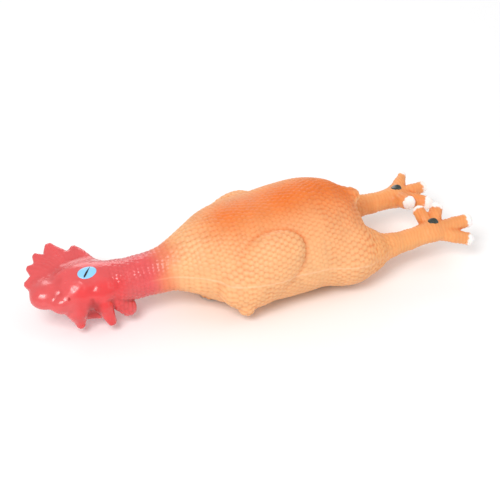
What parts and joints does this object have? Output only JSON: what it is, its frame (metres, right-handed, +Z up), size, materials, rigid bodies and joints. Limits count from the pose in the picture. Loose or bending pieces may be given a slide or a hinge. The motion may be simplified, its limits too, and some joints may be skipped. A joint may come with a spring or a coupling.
{
  "type": "rubber chicken",
  "caption": "Hollow latex novelty chicken lying on its belly, with comb, wattles, folded wings, legs and clawed feet, a fibre-filled body and a press-in reed squeaker.",
  "frame": {"origin": "middle of the bounding box, at the level of the flat patch the belly rests on", "axes": "+X from the head to the feet, +Y to the comb's side, +Z up; the bird's own left is -Y"},
  "size_m": [0.4377, 0.136, 0.0939],
  "materials": {
    "body_latex": "semi-gloss moulded latex, peach with an airbrushed orange back",
    "neck_latex": "semi-gloss moulded latex, orange fading to red",
    "head_latex": "glossy moulded latex, red",
    "leg_latex": "semi-gloss moulded latex, orange",
    "claw_paint": "latex painted white",
    "pad_paint": "latex painted dark green",
    "eye_paint": "latex painted light blue",
    "pupil_paint": "latex painted black",
    "fibre_filling": "loose polyester fibre",
    "squeaker_plastic": "moulded polyethylene",
    "reed_metal": "thin spring strip"
  },
  "bodies": {
    "torso": {"torso_skin": "body_latex", "torso_filling": "fibre_filling", "squeaker_body": "squeaker_plastic", "squeaker_grille": "squeaker_plastic", "reed_block": "squeaker_plastic"},
    "back_panel": {"back_panel_skin": "body_latex"},
    "reed": {"reed": "reed_metal"},
    "neck_base": {"neck_base_skin": "body_latex"},
    "neck_middle": {"neck_middle_skin": "neck_latex"},
    "head": {"head_skin": "head_latex", "beak": "head_latex", "comb": "head_latex", "wattle_left": "head_latex", "wattle_right": "head_latex", "earlobe_left": "head_latex", "earlobe_right": "head_latex", "eye_left": "eye_paint", "eye_right": "eye_paint", "pupil_left": "pupil_paint", "pupil_right": "pupil_paint"},
    "left_leg": {"leg_left_skin": "leg_latex"},
    "left_foot": {"foot_left_skin": "leg_latex", "claw_left_1": "claw_paint", "claw_left_2": "claw_paint", "claw_left_3": "claw_paint", "claw_left_4": "claw_paint", "sole_pad_left": "pad_paint"},
    "right_leg": {"leg_right_skin": "leg_latex"},
    "right_foot": {"foot_right_skin": "leg_latex", "claw_right_1": "claw_paint", "claw_right_2": "claw_paint", "claw_right_3": "claw_paint", "claw_right_4": "claw_paint", "sole_pad_right": "pad_paint"}
  },
  "joints": [
    {"name": "back_squeeze", "type": "slide", "parent": "torso", "child": "back_panel", "axis": [0, 0, -1], "range_m": [0, 0.012], "stiffness_N_per_m": 400, "deforming": ["torso_filling"]},
    {"name": "reed_flutter", "type": "hinge", "parent": "torso", "child": "reed", "pos_m": [-0.0335, 0, 0.0136], "axis": [0, 1, 0], "range_deg": [-1.5, 1.5], "stiffness_Nm_per_rad": 0.0002},
    {"name": "neck_sway", "type": "hinge", "parent": "torso", "child": "neck_base", "pos_m": [-0.09, 0, 0.038], "axis": [0, 0, 1], "range_deg": [-30, 30], "stiffness_Nm_per_rad": 1.2},
    {"name": "neck_bend", "type": "hinge", "parent": "neck_base", "child": "neck_middle", "pos_m": [-0.11, 0, 0.038], "axis": [0, 1, 0], "range_deg": [-25, 25], "stiffness_Nm_per_rad": 1.2},
    {"name": "head_turn", "type": "hinge", "parent": "neck_middle", "child": "head", "pos_m": [-0.13, 0, 0.0385], "axis": [0, 0, 1], "range_deg": [-25, 25], "stiffness_Nm_per_rad": 1},
    {"name": "left_hip", "type": "hinge", "parent": "torso", "child": "left_leg", "pos_m": [0.124, -0.036, 0.0335], "axis": [0, -1, 0], "range_deg": [-25, 25], "stiffness_Nm_per_rad": 0.8},
    {"name": "left_ankle", "type": "hinge", "parent": "left_leg", "child": "left_foot", "pos_m": [0.158, -0.0335, 0.033], "axis": [0, -1, 0], "range_deg": [-30, 35], "stiffness_Nm_per_rad": 0.4},
    {"name": "right_hip", "type": "hinge", "parent": "torso", "child": "right_leg", "pos_m": [0.124, 0.036, 0.0335], "axis": [0, -1, 0], "range_deg": [-25, 25], "stiffness_Nm_per_rad": 0.8},
    {"name": "right_ankle", "type": "hinge", "parent": "right_leg", "child": "right_foot", "pos_m": [0.15, 0.0335, 0.033], "axis": [0, -1, 0], "range_deg": [-30, 35], "stiffness_Nm_per_rad": 0.4}
  ]
}
